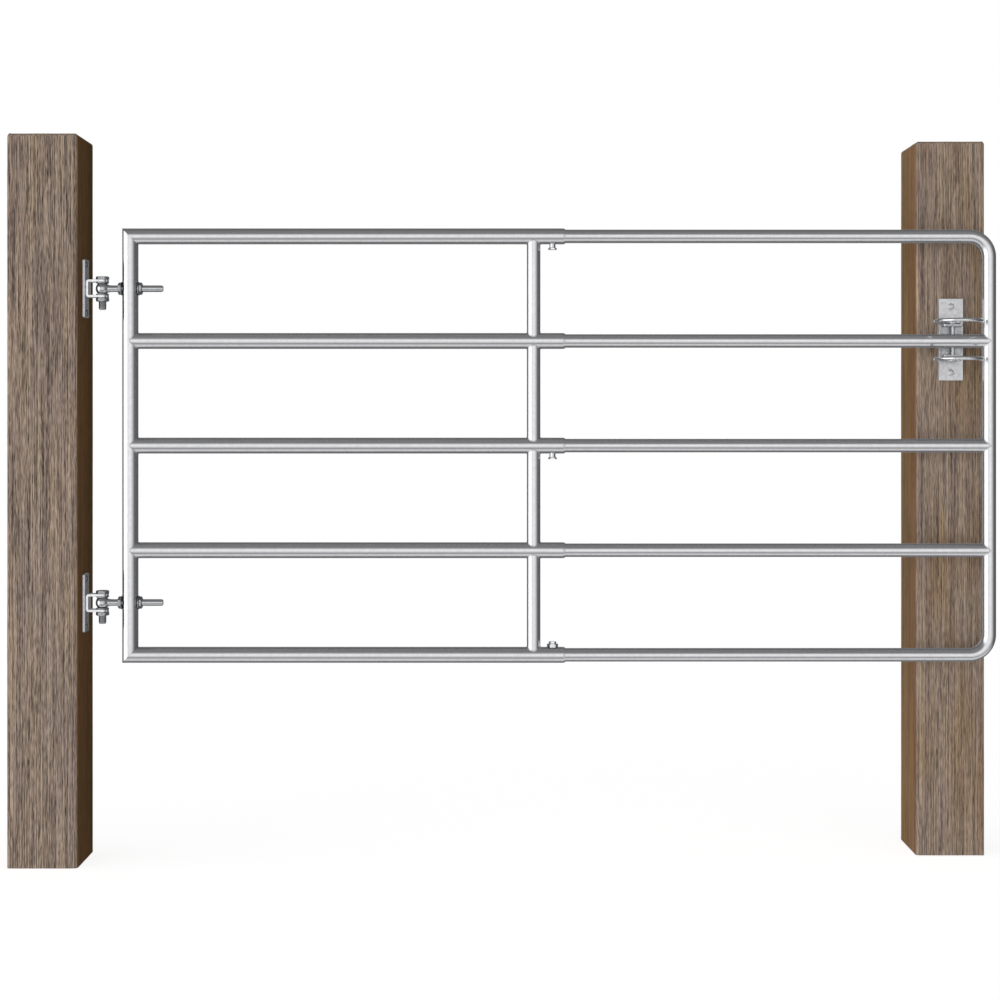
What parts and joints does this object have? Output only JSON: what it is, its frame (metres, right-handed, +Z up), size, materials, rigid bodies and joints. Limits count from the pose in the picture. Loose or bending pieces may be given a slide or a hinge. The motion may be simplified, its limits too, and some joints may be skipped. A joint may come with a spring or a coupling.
{
  "type": "telescopic five-bar field gate between two posts",
  "caption": "Telescopic galvanised tube field gate on bolt hinges between two square timber posts, with a sliding end frame and a turning ring latch.",
  "frame": {"origin": "centre of the hinge post's foot, on the ground", "axes": "+X from the hinge post to the latch post, -Y the side that the gate opens to, +Z up"},
  "size_m": [2.0275, 0.262, 1.495],
  "materials": {
    "timber": "weathered brown-grey softwood with upright grain",
    "galvanised_tube": "bright galvanised, satin",
    "zinc_plate": "zinc-plated, satin",
    "zinc_fastener": "zinc-plated, satin",
    "bright_bar": "bright zinc-plated round bar"
  },
  "bodies": {
    "root": {"hinge_post": "timber", "latch_post": "timber", "upper_hinge_plate": "zinc_plate", "lower_hinge_plate": "zinc_plate", "upper_hinge_yoke": "zinc_plate", "lower_hinge_yoke": "zinc_plate", "hinge_plate_screws": "zinc_fastener", "upper_pivot_bolt": "zinc_fastener", "lower_pivot_bolt": "zinc_fastener", "pivot_nuts": "zinc_fastener", "pivot_washers": "zinc_fastener", "latch_plate": "zinc_plate", "latch_yoke": "zinc_plate", "latch_plate_bolts": "zinc_fastener"},
    "gate_frame": {"hinge_stile": "galvanised_tube", "outer_rail_1": "galvanised_tube", "outer_rail_2": "galvanised_tube", "outer_rail_3": "galvanised_tube", "outer_rail_4": "galvanised_tube", "outer_rail_5": "galvanised_tube", "middle_stile": "galvanised_tube", "upper_eye_bolt": "zinc_fastener", "lower_eye_bolt": "zinc_fastener", "eye_bolt_nuts": "zinc_fastener", "eye_bolt_washers": "zinc_fastener", "clamp_nuts": "zinc_fastener", "clamp_screws": "zinc_fastener"},
    "extension": {"extension_loop": "galvanised_tube", "inner_rail_2": "galvanised_tube", "inner_rail_3": "galvanised_tube", "inner_rail_4": "galvanised_tube"},
    "latch_claw": {"latch_pin": "bright_bar", "upper_claw": "bright_bar", "lower_claw": "bright_bar"}
  },
  "joints": [
    {"name": "gate_swing", "type": "hinge", "parent": "root", "child": "gate_frame", "pos_m": [0.109, -0.008, 0.8584], "axis": [0, 0, -1], "range_deg": [0, 100]},
    {"name": "extension_slide", "type": "slide", "parent": "gate_frame", "child": "extension", "axis": [-1, 0, 0], "range_m": [0, 0.83]},
    {"name": "latch_claw_turn", "type": "hinge", "parent": "root", "child": "latch_claw", "pos_m": [1.8725, 0.014, 1.0761], "axis": [0, 0, -1], "range_deg": [0, 30]}
  ]
}
